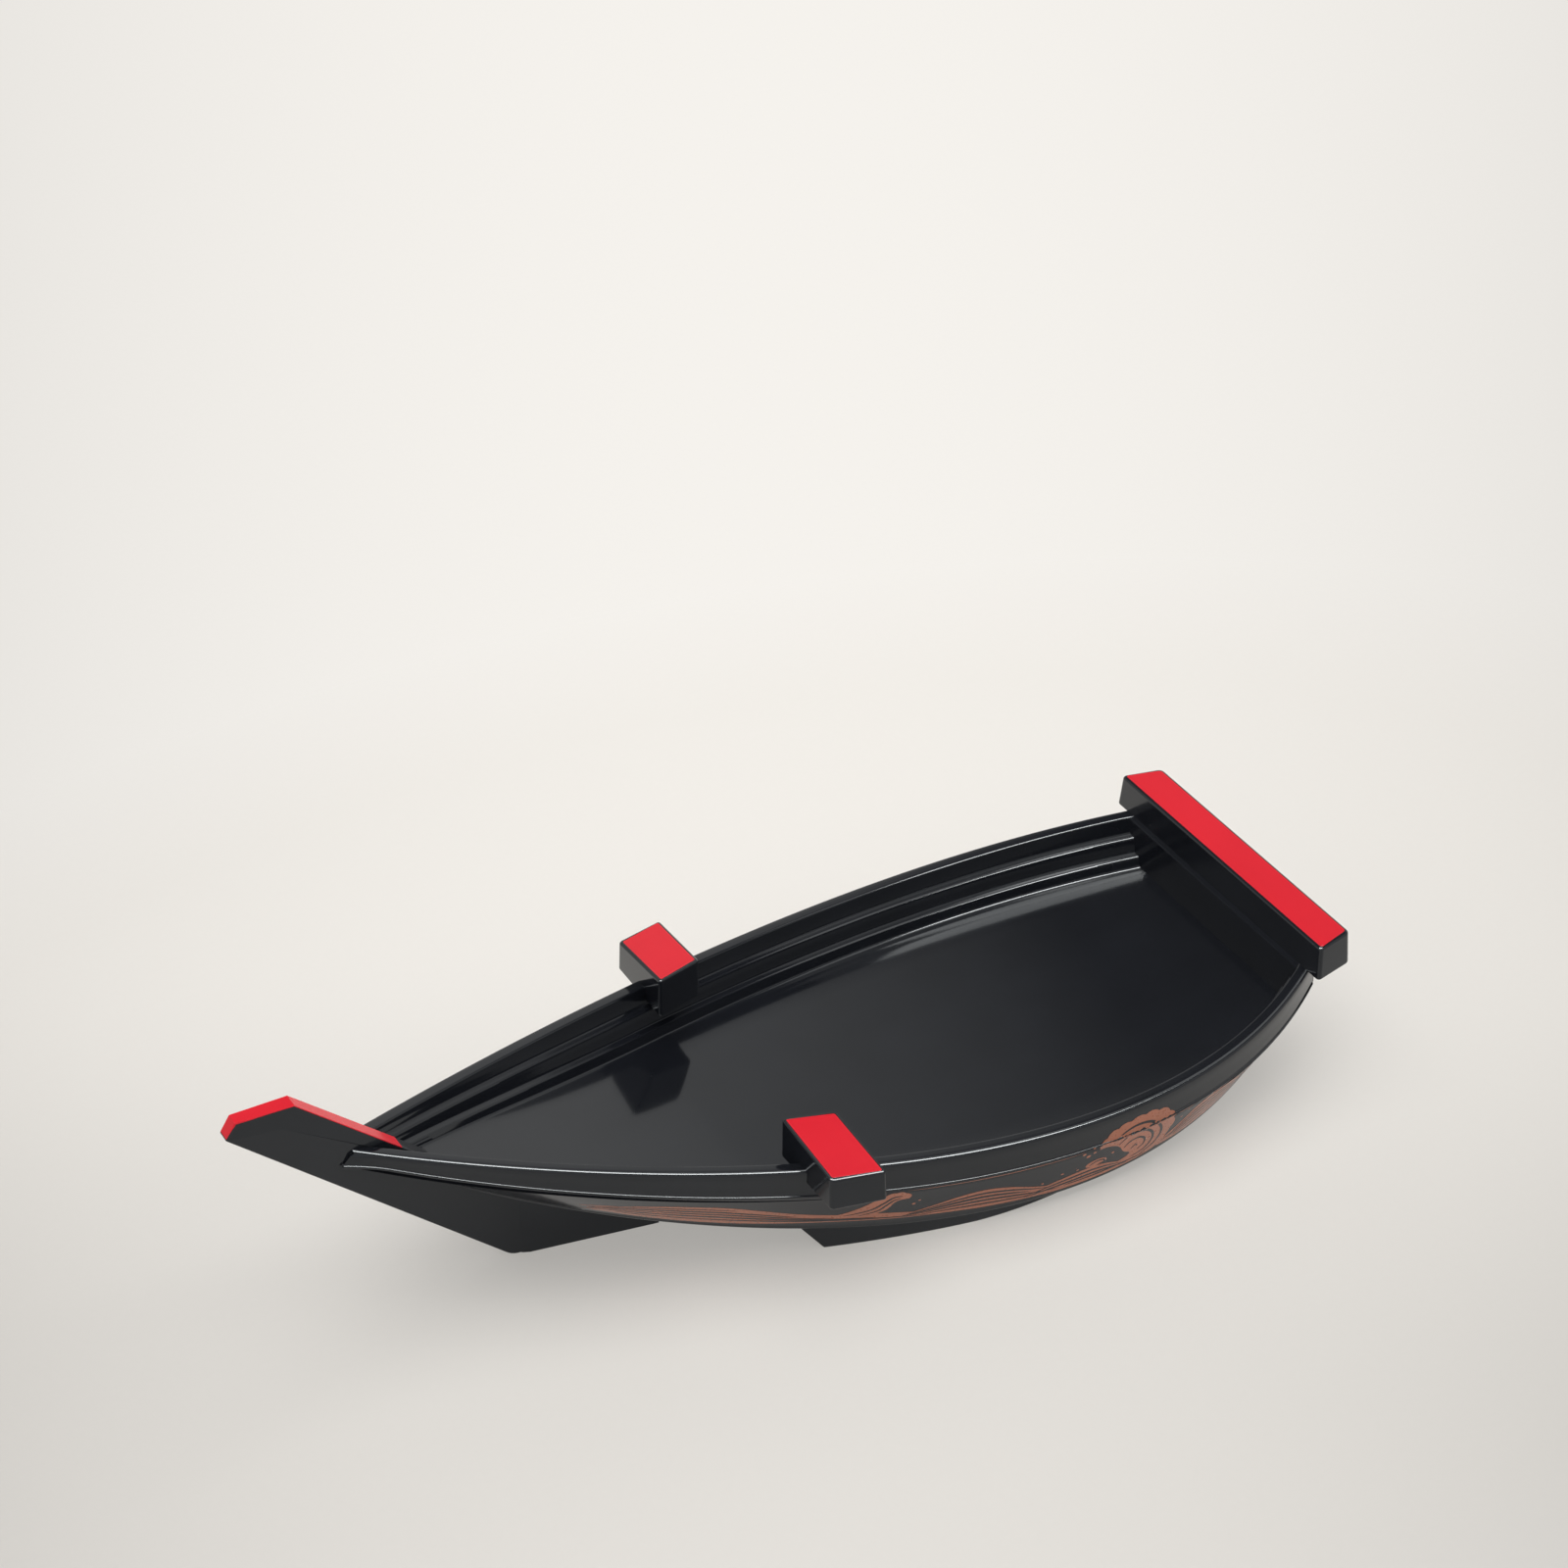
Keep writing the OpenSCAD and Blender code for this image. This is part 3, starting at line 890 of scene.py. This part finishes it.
class BOAT_OT_stern_bar(bpy.types.Operator):
    """Cross bar over the transom, with its red top."""

    bl_idname = "boat.stern_bar"
    bl_label = "Stern bar"

    def execute(self, context):
        width = context.scene.boat_shape.edge_round
        top, low = {}, {}
        for far, side in ((False, -1), (True, 1)):
            for aft, x, half, draft in (
                    (False, BAR_FORE_X, BAR_FORE_HALF, BAR_FORE_DRAFT),
                    (True, BAR_AFT_X, BAR_AFT_HALF, BAR_AFT_DRAFT)):
                top[(aft, far)] = (x, side * half, BAR_TOP - INLAY_PROUD)
                low[(aft, far)] = (x + draft, side * half + side * BAR_END_DRAFT, BAR_LOW)
        body = block("stern_bar_block", top, low, BAR_CORNER, width)
        polish(body, BLOCK_SMOOTH)
        settle(body, "trim", "trim_lacquer", "stern_bar")
        face = facing_corners(top, lambda y: BAR_TOP)
        cap = block("stern_bar_facing", *face, BAR_INLAY_CORNER, INLAY_ROUND, segments=3)
        polish(cap, BLOCK_SMOOTH)
        settle(cap, "red", "red_lacquer", "stern_bar_inlay")
        return {"FINISHED"}


# Stern foot

FOOT_FRONT = -13
FOOT_BACK = 150
FOOT_RAKE = 10 / 13
FOOT_HEIGHT = 14
FOOT_SEAT = 0.8
FOOT_STATIONS = 48
FOOT_TAPER = 14
FOOT_TAPER_FROM = 50
FOOT_TAPER_RUN = 100

# Rings from the inside of the wall to its outside: inset from the chine, shift of both ends, height
FOOT_RINGS = (
    (8.6, 7, FOOT_HEIGHT), (8.6, 7, 0), (2.4, 0.8, 0), (1.95, 0.35, 0.1), (1.7, 0.1, 0.35),
    (1.6, 0, 0.8), (1.6, 0, FOOT_HEIGHT), (8.6, 7, FOOT_HEIGHT))


def chine_at(lines, x):
    """The point of the chine at x, found by halving."""
    low, high = 0.0, 1.0
    for _ in range(36):
        mid = (low + high) / 2
        low, high = (mid, high) if lines.chine(mid).x < x else (low, mid)
    return lines.chine(low)


class BOAT_OT_stern_foot(bpy.types.Operator):
    """Standing ring under the hull."""

    bl_idname = "boat.stern_foot"
    bl_label = "Stern foot"

    def execute(self, context):
        lines = BoatLines(context.scene.boat_shape)

        def ring(inset, shift, z):
            """A closed ring of the wall, which ends just inside the bottom of the hull."""
            slope = FOOT_RAKE * z
            front, back = FOOT_FRONT - slope + shift, FOOT_BACK + slope - shift
            half = []
            for i in range(FOOT_STATIONS + 1):
                x = front + (back - front) * i / FOOT_STATIONS
                p = chine_at(lines, x)
                taper = FOOT_TAPER * (max(0, x - FOOT_TAPER_FROM) / FOOT_TAPER_RUN) ** 1.5
                half.append(Vector((x, p.y - inset - taper, min(z, p.z + FOOT_SEAT))))
            return [*half, *mirrored(half), half[0]]

        piece = grid_sheet("stern_foot_ring", [ring(*row) for row in FOOT_RINGS])
        edit(piece, weld, outward)
        smooth(piece)
        settle(piece, "foot", "foot_lacquer", "stern_foot")
        return {"FINISHED"}


# Wave print

PRINT_STATIONS = 400
INK_LIFT = 0.05
INK_LAYER = 0.004
INK_LAYERS = 6
LINE_LIFT = 0.11
INK_THICKNESS = 0.03
STROKE_TIP = 0.06


def between(a, b, c, d, u):
    """A smooth value at the share u from b to c, with a before them and d after."""
    square = 2 * a - 5 * b + 4 * c - d
    cube = 3 * b - a - 3 * c + d
    return 0.5 * (2 * b + (c - a) * u + square * u * u + cube * u**3)


def through(points, steps):
    """A smooth run of values through points of any length."""
    run = []
    last = len(points) - 1
    for i in range(last):
        near = [points[min(max(k, 0), last)] for k in (i - 1, i, i + 1, i + 2)]
        for j in range(steps):
            run.append(tuple(between(*values, j / steps) for values in zip(*near)))
    run.append(tuple(points[-1]))
    return run


def across(path, i):
    """Unit step to the left of a path at its point i."""
    a, b = path[max(i - 1, 0)], path[min(i + 1, len(path) - 1)]
    dx, dh = b[0] - a[0], b[1] - a[1]
    size = math.hypot(dx, dh) or 1
    return -dh / size, dx / size


class Print:
    """Collects flat shapes on the side of the hull; x runs along the boat, h up from the chine, in mm."""

    def __init__(self, lines):
        self.rows = []
        for i in range(PRINT_STATIONS + 1):
            t = i / PRINT_STATIONS
            self.rows.append((lines.strake(t, 0), lines.strake(t, 1), lines.spot(t, (0, 0, 0, 0, 1))))
        self.colour = ([], [])
        self.lines = ([], [])
        self.layer = 0

    def section(self, x, f):
        """Lap, chine and skirt edge where the strake passes x at share f, and the way along the boat."""
        low, high = 0, len(self.rows) - 1
        while high - low > 1:
            mid = (low + high) // 2
            if self.rows[mid][0].lerp(self.rows[mid][1], f).x < x:
                low = mid
            else:
                high = mid
        a, b = self.rows[low], self.rows[high]
        start, stop = (row[0].lerp(row[1], f).x for row in (a, b))
        share = (x - start) / (stop - start)
        return [p.lerp(q, share) for p, q in zip(a, b)], b[0] - a[0]

    def span(self, x):
        """Height of the lower strake at x."""
        (lap, chine, _), _ = self.section(x, 0)
        return (lap - chine).length

    def skirt_inset(self, rise):
        """How far the upper strake stands in, above the bead on its lower edge."""
        bead_top = BEAD_LOW + BEAD
        if rise < bead_top:
            return max(0, rise - BEAD_LOW)
        return BEAD - SKIRT_FLARE * (rise - bead_top)

    def lift(self, x, h, height):
        """The place of (x, h), lifted off the lacquer; above the lap it lies on the upper strake."""
        (lap, chine, _), _ = self.section(x, 0.5)
        f = 1 - h / (lap - chine).length
        (lap, chine, skirt), along = self.section(x, max(f, 0))
        if f >= 0:
            p, upward = lap.lerp(chine, f), lap - chine
        else:
            rise = h - (lap - chine).length
            p, upward = skirt + Vector((0, -self.skirt_inset(rise), rise)), Vector((0, 0, 1))
        normal = along.cross(upward).normalized()
        if normal.y < 0:
            normal = -normal
        return (p + normal * height) * MM

    def band(self, first, second, dark=False, columns=4):
        """A strip between two edges of as many points."""
        points, faces = self.lines if dark else self.colour
        height = LINE_LIFT if dark else INK_LIFT + INK_LAYER * self.layer
        self.layer = (self.layer + 1) % INK_LAYERS
        base, width = len(points), columns + 1
        for a, b in zip(first, second):
            for k in range(width):
                u = k / columns
                points.append(self.lift(a[0] + (b[0] - a[0]) * u, a[1] + (b[1] - a[1]) * u, height))
        for i in range(len(first) - 1):
            for k in range(columns):
                q = base + i * width + k
                faces.append((q, q + 1, q + width + 1, q + width))

    def stroke(self, path, width, dark=False):
        """A brush stroke along a path, thin at both ends."""
        first, second = [], []
        n = len(path) - 1
        for i, (x, h) in enumerate(path):
            dx, dh = across(path, i)
            swell = max(0, math.sin(math.pi * i / n)) ** 0.6
            w = width / 2 * (STROKE_TIP + (1 - STROKE_TIP) * swell)
            first.append((x + dx * w, h + dh * w))
            second.append((x - dx * w, h - dh * w))
        self.band(first, second, dark, 2)

    def line(self, points, width):
        """A dark line left open in the colour."""
        self.stroke(through(points, 8), width, True)

    def lens(self, x, half, upper, lower, steps):
        """A rounded spot; upper and lower give the height and the bulge of its two edges."""
        turn = [math.pi * i / steps for i in range(steps + 1)]
        edges = []
        for h, bulge in (upper, lower):
            edges.append([(x - half * math.cos(a), h + bulge * math.sin(a)) for a in turn])
        self.band(*edges)

    def drop(self, x, h, r):
        self.lens(x, r, (h, 0.8 * r), (h, -0.8 * r), 10)

    def flow(self, stations, seams):
        """Running water between a low and a high edge.

        A station is (x, low, high), and a seam is (share of the height, start, stop, width).
        """
        run = through(stations, 10)
        self.band([(x, high) for x, low, high in run], [(x, low) for x, low, high in run], columns=8)
        n = len(run) - 1
        for share, start, stop, width in seams:
            part = run[int(n * start):int(n * stop) + 1]
            self.stroke([(x, low + (high - low) * share) for x, low, high in part], width, True)


def scalloped(path, start, stop, lobes, size):
    """A path with rounded lobes on its left side between two shares of its length."""
    n = len(path) - 1
    found = []
    for i, (x, h) in enumerate(path):
        dx, dh = across(path, i)
        s = (i / n - start) / (stop - start)
        bulge = size * abs(math.sin(math.pi * lobes * s)) ** 0.7 if 0 < s < 1 else 0
        found.append((x + dx * bulge, h + dh * bulge))
    return found


def draw_bow_water(pen):
    """Long water along the chine from the bow, with two thin strokes ahead of it."""
    pen.flow(
        [(-108, 13.2, 14), (-100, 7.5, 19.5), (-90, 4.4, 24.4), (-76, 3.2, 26.4), (-58, 3.4, 25.2),
         (-44, 4.2, 20.8), (-28, 5, 15.4), (-12, 5.4, 12.2), (6, 5, 10.6), (22, 4.4, 8.4), (36, 4.4, 5)],
        [(0.85, 0.07, 0.44, 1.2), (0.70, 0.01, 0.60, 1.7), (0.55, 0.10, 0.70, 1.3),
         (0.39, 0.02, 0.80, 1.7), (0.22, 0.14, 0.94, 1.3)])
    for x, h, length, rise in ((-112, 17.5, 14, 0.3), (-110, 10, 12, -0.25)):
        pen.stroke([(x + length * u / 8, h + rise * length * u / 8) for u in range(9)], 1.6)


def draw_small_crest(pen):
    """A small breaking crest at midships."""
    back = through(
        [(-22, 9), (-10, 12.4), (-2, 17.6), (4, 23.2), (9.5, 26.4), (14.5, 26.2), (18.4, 22.6)], 8)
    face = through(
        [(-10, 8), (2, 9.6), (8, 12.4), (10.4, 15.6), (11.4, 18.4), (13.6, 20.4), (17.6, 21)], 8)
    pen.band(scalloped(back, 0.6, 1, 3, 0.7), face, columns=6)
    pen.line([(-8, 10.6), (2, 14.2), (7, 19), (10.6, 23.2), (14.6, 23.6)], 1.2)
    pen.line([(-2, 9.8), (5.4, 13), (8.4, 17), (11, 20.6), (14, 21.8)], 1.0)


def draw_middle_water(pen):
    """Two low runs of water, and a small curl under the great crest."""
    pen.flow(
        [(16, 4.8, 6.4), (28, 4.5, 11), (40, 4, 14.8), (52, 3.2, 16), (64, 2.6, 13.4), (76, 2, 8.8),
         (92, 1.4, 4)],
        [(0.80, 0.06, 0.90, 1.2), (0.60, 0.02, 0.80, 1.5), (0.40, 0.08, 0.96, 1.2), (0.20, 0.14, 0.86, 1.0)])
    pen.flow(
        [(70, 2.4, 4), (82, 1.5, 7.2), (92, 1.1, 9), (102, 1, 9.8), (110, 1, 8.4), (118, 1, 5), (126, 1, 2)],
        [(0.74, 0.06, 0.86, 1.1), (0.46, 0.03, 0.92, 1.2)])
    pen.lens(104.6, 5.2, (11.6, 2.3), (11.2, -1.5), 16)
    pen.line([(101, 11), (104.4, 12.6), (108, 12.2), (108.6, 10.6), (105.6, 10.2)], 0.8)


def draw_great_crest(pen):
    """The large curling crest before the stern."""
    head = through(
        [(104.6, 20.6), (107, 25), (112, 28.2), (118, 29.4), (125, 30), (132, 29.2), (138.4, 26.6),
         (142.4, 21.6), (143.6, 15), (142, 8), (138, 3), (130, 1.2), (118, 1), (104, 1), (92, 1.6),
         (82, 3.2)], 10)
    hollow = through(
        [(104.6, 20.4), (108, 20.4), (111, 19.6), (113.5, 18.2), (115.4, 16.4), (116.6, 14.6), (117.4, 13),
         (118.4, 11.6), (119.8, 10.4), (121.4, 9.4), (122, 7.8), (119.5, 6.2), (113, 5.2), (104, 5),
         (92, 5.2), (82, 3.6)], 10)
    pen.band(scalloped(head, 0.01, 0.56, 8, 1.1), hollow, columns=12)
    pen.line(
        [(111.6, 21.4), (116.6, 25), (123.4, 26.2), (130.4, 24.4), (135.8, 19.4), (137.8, 12.8), (135.4, 6.6),
         (128.6, 3.2)], 1.4)
    pen.line(
        [(114.6, 18), (118.2, 21.4), (124, 22.2), (129.6, 19.8), (133, 15), (133, 9.6), (129.4, 5.8),
         (123, 4.6)], 1.3)
    pen.line([(118, 14), (120.4, 17), (124.8, 17.6), (128.4, 15), (129, 11), (126, 8.2)], 1.1)
    pen.line([(122.2, 11), (124.2, 12.8), (125.6, 11.4)], 0.8)
    pen.line([(132, 2.2), (118, 3), (104, 3.2), (90, 3.4)], 0.9)


def draw_stern_water(pen):
    """The last run of water, by the stern."""
    pen.flow(
        [(138, 2, 4.6), (148, 1.3, 9.6), (157, 1, 16), (166, 1.2, 19), (176, 2, 17.4), (187, 3.6, 12.6),
         (200, 6, 8.6)],
        [(0.80, 0.14, 0.88, 1.2), (0.60, 0.05, 0.96, 1.5), (0.40, 0.10, 0.90, 1.2), (0.20, 0.16, 0.96, 1.1)])


def draw_spray(pen):
    """Drops beside the crests, and two thin strokes under the lap."""
    for x, h, r in (
            (79, 9.4, 0.6), (88, 12, 0.7), (95.5, 11.2, 0.6), (97, 21, 0.9), (99.5, 18.6, 1.1),
            (102.4, 19.8, 0.8), (101, 23.6, 0.6), (112.4, 14.4, 0.8), (22.5, 18, 0.6), (20.4, 15.6, 0.8),
            (148.6, 15.6, 0.6), (152, 18.4, 0.5)):
        pen.drop(x, h, r)
    for start, stop in ((16, 96), (145, 156)):
        pen.stroke([(x, pen.span(x) - 0.7) for x in range(start, stop + 1, 2)], 0.42)


def turn_faces(piece):
    """Turns over the faces that look to the inside of the starboard hull."""
    mesh = bmesh.new()
    mesh.from_mesh(piece.data)
    mesh.normal_update()
    bmesh.ops.reverse_faces(mesh, faces=[f for f in mesh.faces if f.normal.y < 0])
    mesh.to_mesh(piece.data)
    mesh.free()


class BOAT_OT_wave_print(bpy.types.Operator):
    """Wave print on both sides of the hull."""

    bl_idname = "boat.wave_print"
    bl_label = "Wave print"

    def execute(self, context):
        pen = Print(BoatLines(context.scene.boat_shape))
        draw_bow_water(pen)
        draw_small_crest(pen)
        draw_middle_water(pen)
        draw_great_crest(pen)
        draw_stern_water(pen)
        draw_spray(pen)
        for part, (points, faces), material in (("print", pen.colour, "ink"), ("lines", pen.lines, "hull")):
            piece = sheet_from(f"starboard_wave_{part}", points, faces)
            turn_faces(piece)
            thicken(piece, INK_THICKNESS)
            for item in (mirror_copy(piece, f"port_wave_{part}"), piece):
                smooth(item, 60)
                settle(item, material, "hull_lacquer")
        return {"FINISHED"}


# Stage: places in metres, angles in degrees

CAMERA_PLACE = (-0.61864, -1.09143, 1.06151)
CAMERA_TURN = 29.7253
CAMERA_TILT = 34.6527
FOCAL_PIXELS = 3827.69
PHOTO_PIXELS = 1600
SENSOR_WIDTH = 36
TABLE_SIZE = 16
# Painted shade on the table: where it starts in front of the boat, how fast it deepens, and its most to the
# sides.
FRONT_START = 0.14
FRONT_RATE = 3.3
MOST_EDGE_FALL = 0.13
TABLE_GRAIN = 0.012
# How fast the table turns from lit to its painted glow away from the boat, along it and across it
NEAR_ALONG = 7.7
NEAR_DEPTH = 17.4
LAMP_COLOUR = (1, 0.985, 0.96)
SKY_LOW = (0.80, 0.79, 0.77, 1)
SKY_HIGH = (0.13, 0.13, 0.135, 1)
BACKDROP = (0.90, 0.875, 0.83, 1)


def table_material(tones):
    """Pale table: mostly lit near the boat, where its shadow falls, and a painted glow of its tone farther
    off.
    """
    r = new_recipe("pale table")
    place = r.node("ShaderNodeSeparateXYZ", Vector=r.place()).socket.node
    along, depth = (Value(r.tree, place.outputs[k]) for k in ("X", "Y"))
    turn = math.radians(CAMERA_TURN)
    ahead = depth * math.cos(turn) + along * math.sin(turn)
    spread = (ahead * 0.6 + 1).clamp(0.5, 4)
    aside = (along * math.cos(turn) - depth * math.sin(turn)).math("DIVIDE", spread)
    front = ((FRONT_START - ahead) * FRONT_RATE).clamp()
    grain = r.noise(scale=300, detail=2) * TABLE_GRAIN - TABLE_GRAIN / 2
    # Painted shade: the tone darkens to the sides of the view and in front of the boat, where light falls
    # off.
    painted_edge_shade = (aside * aside * tones.edge_shade_fall).clamp(0, MOST_EDGE_FALL)
    painted_front_shade = front * front * (3 - 2 * front) * tones.front_shade_fall
    level = (tones.tone - (painted_edge_shade + painted_front_shade) + grain).clamp()
    tone = r.blend(level, (0, 0, 0, 1), tint(tones.tint))
    r.finish(Base_Color=tone, Roughness=0.6, Specular_IOR_Level=0.1)
    lit = Value(r.tree, r.tree.nodes["Principled BSDF"].outputs[0])
    reach = (along * along * NEAR_ALONG + depth * depth * NEAR_DEPTH).math("SQRT")
    # Painted glow for camera and reflection rays: at least 0.4 by the boat, which paints its shadow lighter,
    # and all of it farther off.
    painted_glow_share = ((reach - 1.1) * 1.4).clamp(0.4, 1)
    # Emission of the tone: a painted glow, not a lamp.
    flat = r.node("ShaderNodeEmission", Color=tone, Strength=1.0)
    surface = r.node("ShaderNodeMixShader", links=(painted_glow_share * r.seen(), lit, flat))
    feed(r.tree.nodes["Material Output"].inputs["Surface"], surface)
    return r.owner


def studio_world():
    """Pale round the sides and darker overhead, with a warm backdrop past the table."""
    world = bpy.data.worlds.new("soft studio")
    w = Recipe(world)
    up = w.node("ShaderNodeSeparateXYZ", out="Z", Vector=w.node("ShaderNodeTexCoord", out="Generated"))
    high = ((up - 0.50) * 5).clamp()
    sky = w.blend(high, SKY_LOW, SKY_HIGH)
    behind = w.node("ShaderNodeLightPath", out="Is Camera Ray")
    feed(w.tree.nodes["Background"].inputs["Color"], w.blend(behind, sky, BACKDROP))
    return world


def lamp(name, place, target, size, power, gloss_only=False):
    """A rectangular lamp turned to a target; a gloss-only lamp shows in reflections alone."""
    data = bpy.data.lights.new(name, "AREA")
    data.shape = "RECTANGLE"
    data.size, data.size_y = size
    data.energy = power
    data.color = LAMP_COLOUR
    item = add_object(name, data)
    item.location = place
    item.rotation_euler = (Vector(target) - Vector(place)).to_track_quat("-Z", "Y").to_euler()
    item.visible_diffuse = not gloss_only


def photo_camera():
    """The camera as solved from the photo."""
    lens = bpy.data.cameras.new("photo camera")
    lens.sensor_width = SENSOR_WIDTH
    lens.lens = FOCAL_PIXELS / PHOTO_PIXELS * SENSOR_WIDTH
    lens.clip_start = 0.01
    camera = add_object("photo camera", lens)
    camera.location = CAMERA_PLACE
    camera.rotation_euler = (math.radians(90 - CAMERA_TILT), 0, math.radians(-CAMERA_TURN))
    return camera


class BOAT_OT_stage(bpy.types.Operator):
    """Pale table, soft light and the camera."""

    bl_idname = "boat.stage"
    bl_label = "Stage"

    def execute(self, context):
        scene = context.scene
        scene.view_settings.view_transform = "Standard"
        deselect()
        bpy.ops.mesh.primitive_plane_add(size=TABLE_SIZE)
        floor = new_piece("table")
        floor.data.materials.append(table_material(scene.boat_stage))
        scene.world = studio_world()
        lamp("overhead softbox", (0.15, 0.0, 1.9), (0.15, 0, 0), size=(2.6, 2.0), power=32)
        lamp(
            "strip light", (-0.19, -0.43, 1.68), (0.05, 0, 0.05), size=(2.6, 0.8), power=190,
            gloss_only=True)
        scene.camera = photo_camera()
        return {"FINISHED"}


class BOAT_PT_panel(bpy.types.Panel):
    bl_label = "Sushi boat"
    bl_idname = "BOAT_PT_panel"
    bl_space_type = "VIEW_3D"
    bl_region_type = "UI"
    bl_category = "Sushi boat"

    def draw(self, context):
        for name, group in GROUPS:
            for key in group.__annotations__:
                self.layout.prop(getattr(context.scene, name), key)
        for operator in OPERATORS:
            self.layout.operator(operator.bl_idname)


OPERATORS = (
    BOAT_OT_deck_tray, BOAT_OT_hull_shell, BOAT_OT_stem, BOAT_OT_beams, BOAT_OT_stern_bar,
    BOAT_OT_stern_foot, BOAT_OT_wave_print, BOAT_OT_stage)
GROUPS = (("boat_shape", BoatShape), ("boat_finish", BoatFinish), ("boat_stage", StageSettings))


def register():
    for name, group in GROUPS:
        bpy.utils.register_class(group)
        setattr(bpy.types.Scene, name, PointerProperty(type=group))
    for cls in (*OPERATORS, BOAT_PT_panel):
        bpy.utils.register_class(cls)


def unregister():
    for cls in reversed((*OPERATORS, BOAT_PT_panel)):
        bpy.utils.unregister_class(cls)
    for name, group in reversed(GROUPS):
        delattr(bpy.types.Scene, name)
        bpy.utils.unregister_class(group)


def main():
    register()
    bpy.ops.boat.deck_tray()
    bpy.ops.boat.hull_shell()
    bpy.ops.boat.stem()
    bpy.ops.boat.beams()
    bpy.ops.boat.stern_bar()
    bpy.ops.boat.stern_foot()
    bpy.ops.boat.wave_print()
    bpy.ops.boat.stage()


if __name__ == "__main__":
    main()
